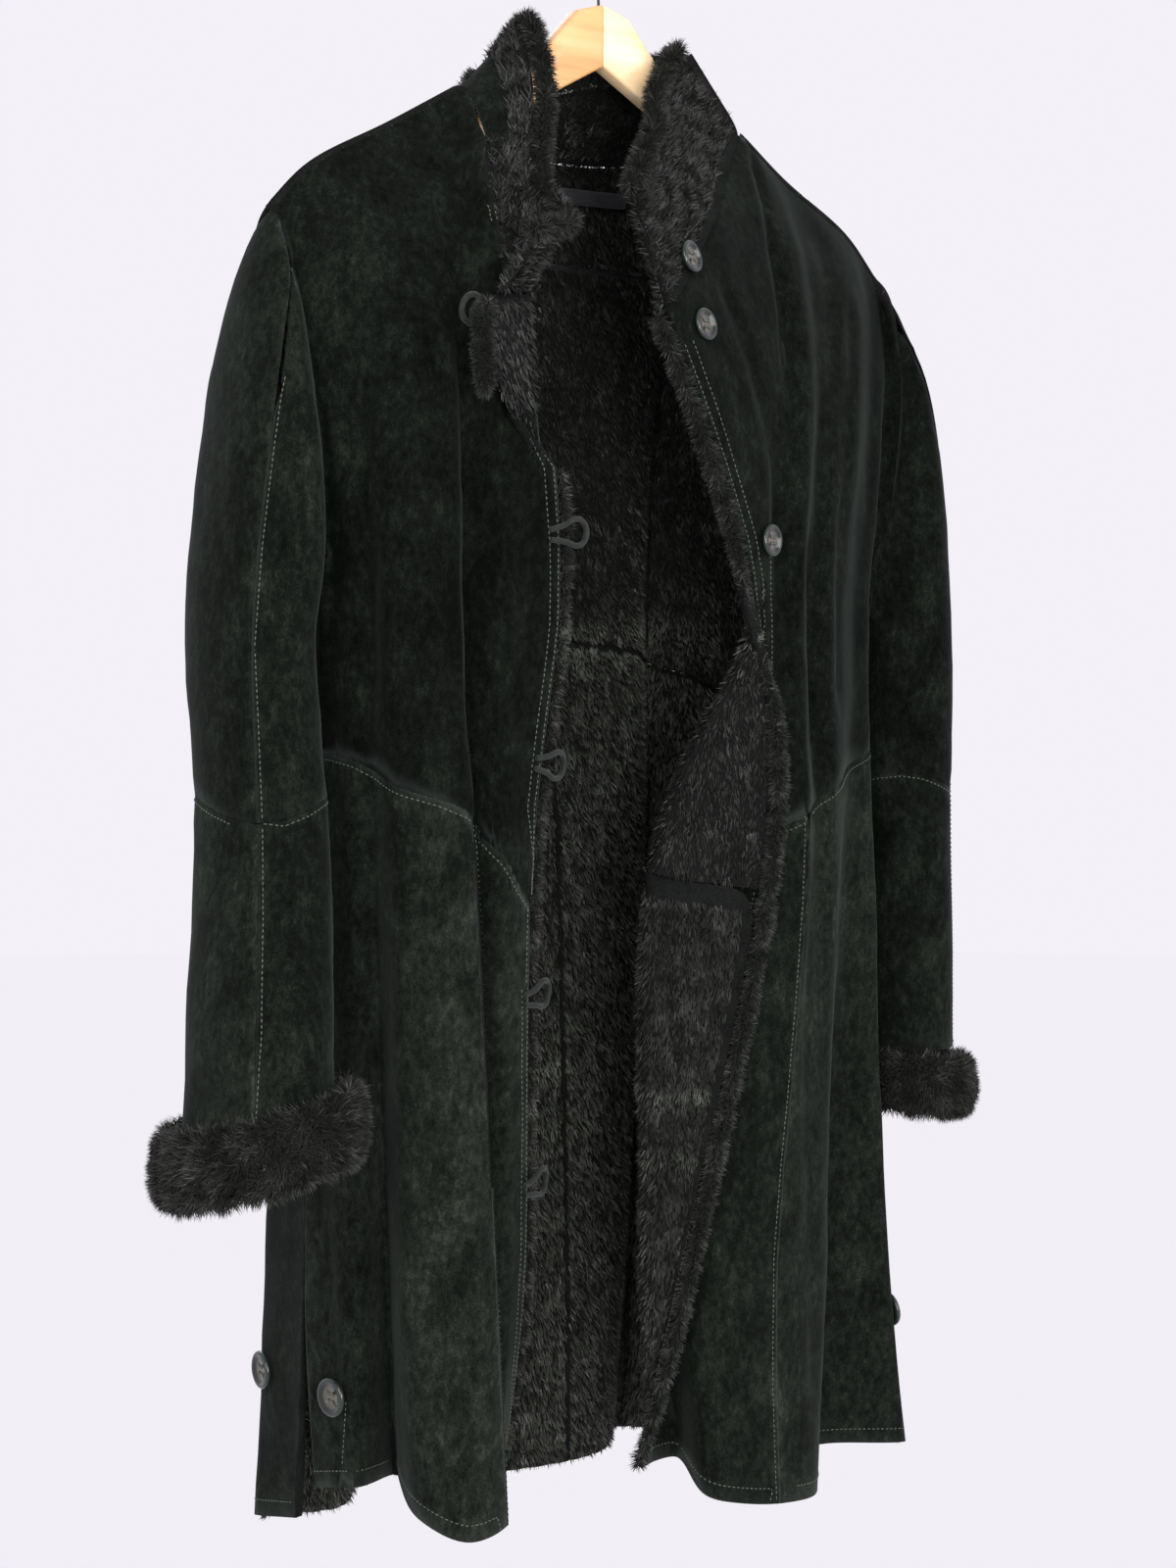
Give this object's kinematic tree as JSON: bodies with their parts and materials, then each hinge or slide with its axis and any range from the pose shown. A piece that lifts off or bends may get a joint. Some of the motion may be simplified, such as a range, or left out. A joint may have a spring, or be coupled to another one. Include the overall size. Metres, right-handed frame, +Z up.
{
  "type": "shearling coat on a wooden hanger",
  "caption": "Three-quarter-length swing coat, suede outside and fur inside, stand-up collar, turned-up fur cuffs and side vents, hung open on a wooden hanger.",
  "frame": {"origin": "the inside top of the hanger's hook, where it rests on a rail", "axes": "+Z up; the coat's front faces -Y; +X is the right of a person who looks at its front"},
  "size_m": [0.6779, 0.2492, 1.0522],
  "materials": {
    "suede": "napped, very dark bottle green",
    "fur": "clipped sheep pile, charcoal black",
    "button": "polished, dark green horn look",
    "satin": "satin ribbon",
    "wood": "clear varnish",
    "wire": "black wire",
    "steel": "bright"
  },
  "bodies": {
    "root": {"front_upper_left": "suede", "front_centre_lower_left": "suede", "front_side_lower_left": "suede", "back_upper": "suede", "back_lower_left": "suede", "back_lower_right": "suede", "front_upper_right": "suede", "front_side_lower_right": "suede", "front_centre_lower_right": "suede", "collar": "suede", "sleeve_upper_front_left": "suede", "sleeve_lower_front_left": "suede", "sleeve_upper_back_left": "suede", "sleeve_lower_back_left": "suede", "sleeve_upper_front_right": "suede", "sleeve_lower_front_right": "suede", "sleeve_upper_back_right": "suede", "sleeve_lower_back_right": "suede", "loop_1": "suede", "loop_2": "suede", "loop_3": "suede", "loop_4": "suede", "loop_5": "suede", "vent_tab_left": "suede", "vent_tab_right": "suede", "fur_edge_left": "fur", "fur_edge_revers": "fur", "fur_edge_right": "fur", "fur_edge_collar": "fur", "cuff_left": "fur", "cuff_right": "fur", "button_collar": "button", "button_front_1": "button", "button_front_2": "button", "button_front_3": "button", "button_front_4": "button", "button_front_5": "button", "button_vent_front_left": "button", "button_vent_back_left": "button", "button_vent_front_right": "button", "button_vent_back_right": "button", "hang_loop": "satin", "hanger_arm_left": "wood", "hanger_arm_right": "wood", "hanger_hook": "wire", "hanger_bar": "steel"}
  },
  "joints": []
}
